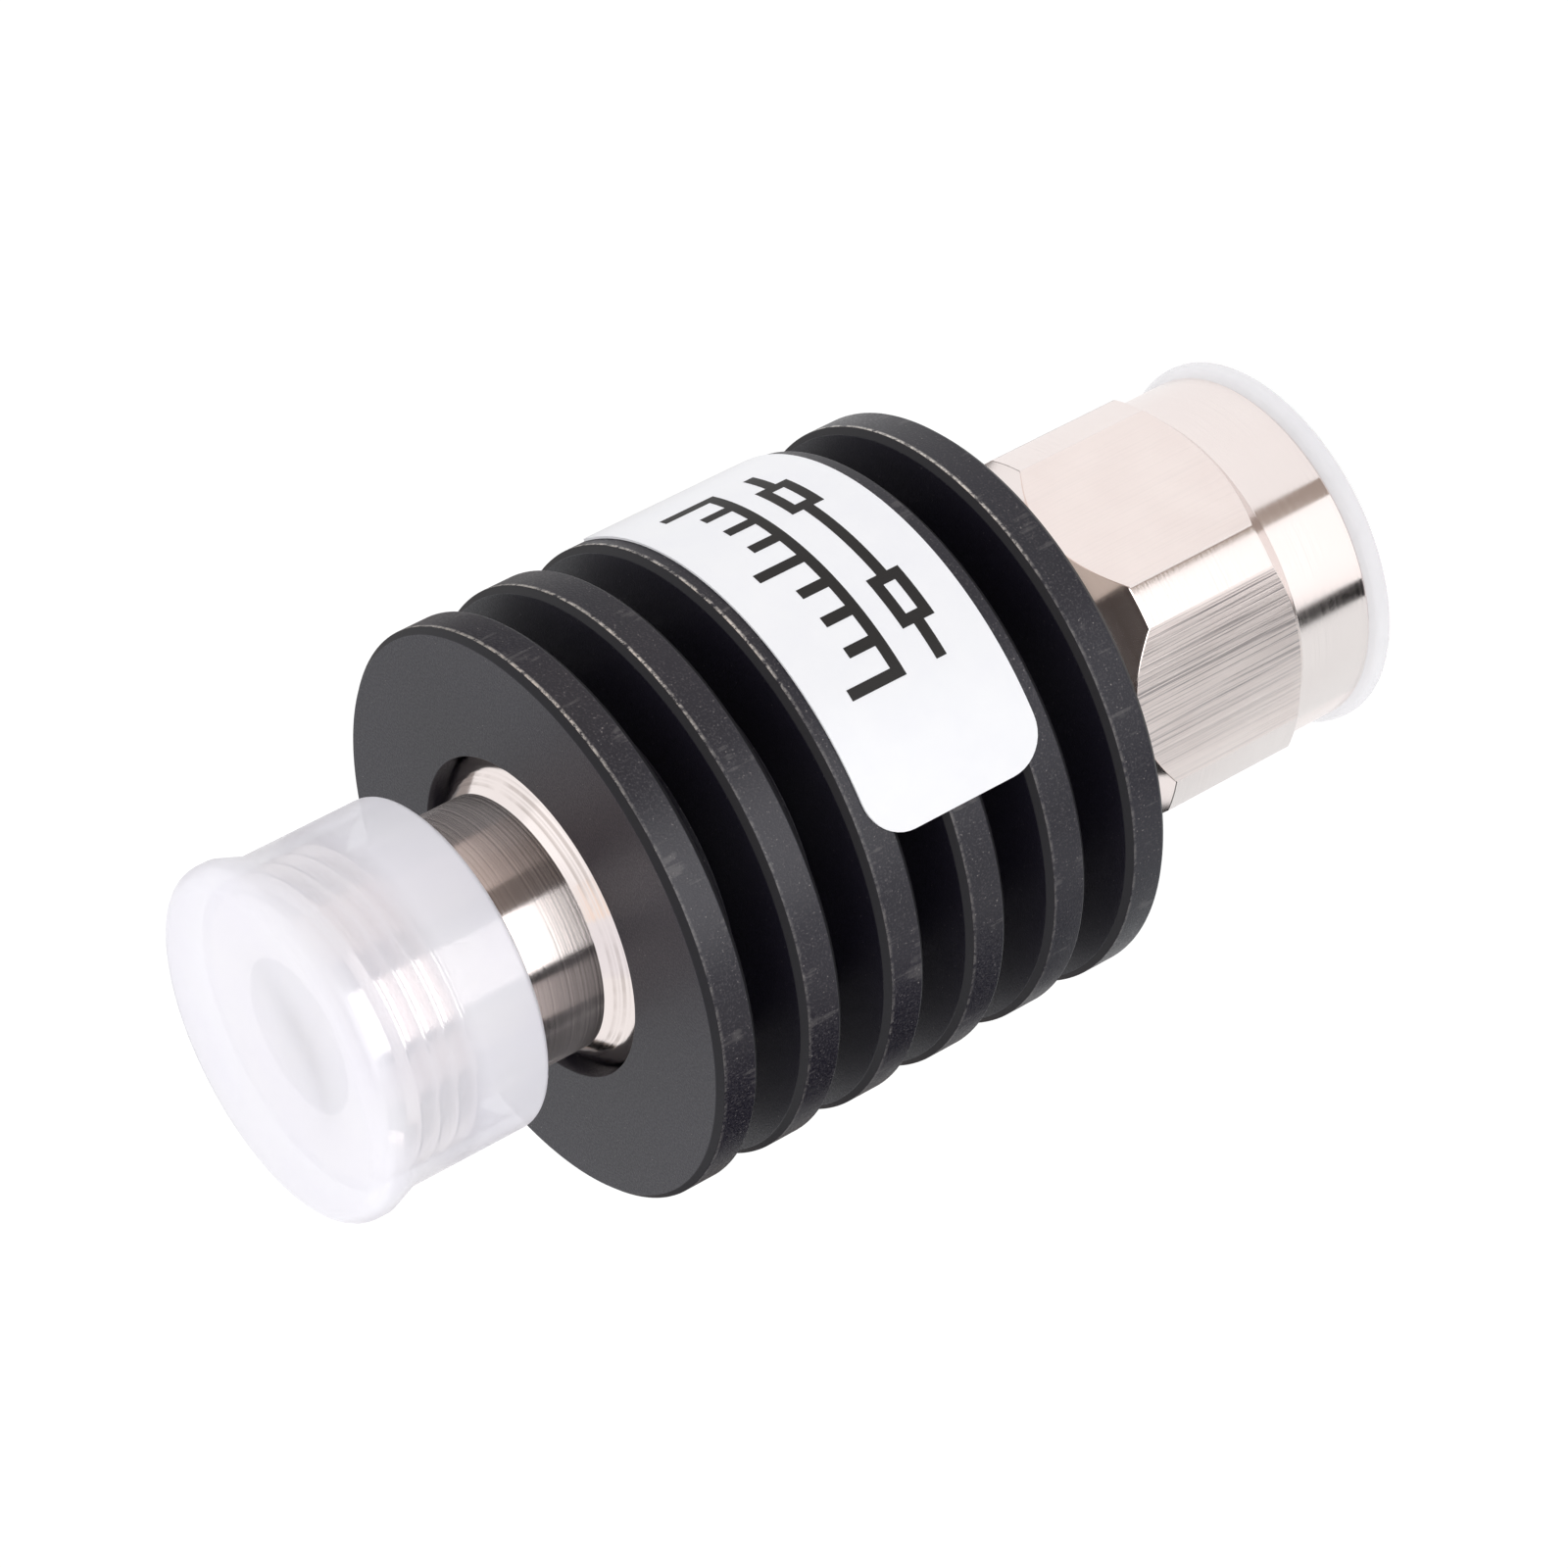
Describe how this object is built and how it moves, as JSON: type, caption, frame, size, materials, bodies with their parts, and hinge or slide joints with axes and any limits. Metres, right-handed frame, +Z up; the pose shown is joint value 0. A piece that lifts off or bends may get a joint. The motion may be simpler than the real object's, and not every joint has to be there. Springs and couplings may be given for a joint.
{
  "type": "rf attenuator",
  "caption": "Fixed coaxial attenuator: round finned heat sink between a threaded socket and a plug with a loose hexagonal coupling nut, each under a soft translucent dust cap.",
  "frame": {"origin": "centre of the flat underside of the plug's dust cap, which the part stands on", "axes": "+Z up along the connector axis from the plug to the socket; the middle of the label faces -Y"},
  "size_m": [0.03, 0.0301, 0.0613],
  "materials": {
    "black_anodised": "black anodised, satin",
    "label_film": "satin white film",
    "nickel_plate": "nickel plated, turned",
    "gold_plate": "gold plated",
    "white_insulator": "machined, matt",
    "cap_plastic": "soft translucent plastic",
    "spring_steel": "bright",
    "gasket_rubber": "matt",
    "bare_brass": "machined",
    "ceramic": "white ceramic, opaque"
  },
  "bodies": {
    "lower_cap": {"plug_cap": "cap_plastic"},
    "main_body": {"heat_sink": "black_anodised", "label": "label_film", "socket_shell": "nickel_plate", "socket_contact": "gold_plate", "socket_bead": "white_insulator", "plug_shell": "nickel_plate", "plug_contact": "gold_plate", "plug_bead": "white_insulator", "snap_ring": "spring_steel", "gasket": "gasket_rubber", "carrier_base": "bare_brass", "carrier_cover": "bare_brass", "attenuator_chip": "ceramic", "socket_tab": "gold_plate", "plug_tab": "gold_plate"},
    "nut": {"coupling_nut": "nickel_plate"},
    "upper_cap": {"socket_cap": "cap_plastic"}
  },
  "joints": [
    {"name": "plug_cap_pull", "type": "slide", "parent": "lower_cap", "child": "main_body", "axis": [0, 0, 1], "range_m": [0, 0.02]},
    {"name": "nut_spin", "type": "hinge", "parent": "main_body", "child": "nut", "pos_m": [0, 0, 0.01], "axis": [0, 0, 1], "continuous": true},
    {"name": "socket_cap_pull", "type": "slide", "parent": "main_body", "child": "upper_cap", "axis": [0, 0, 1], "range_m": [0, 0.02]}
  ]
}
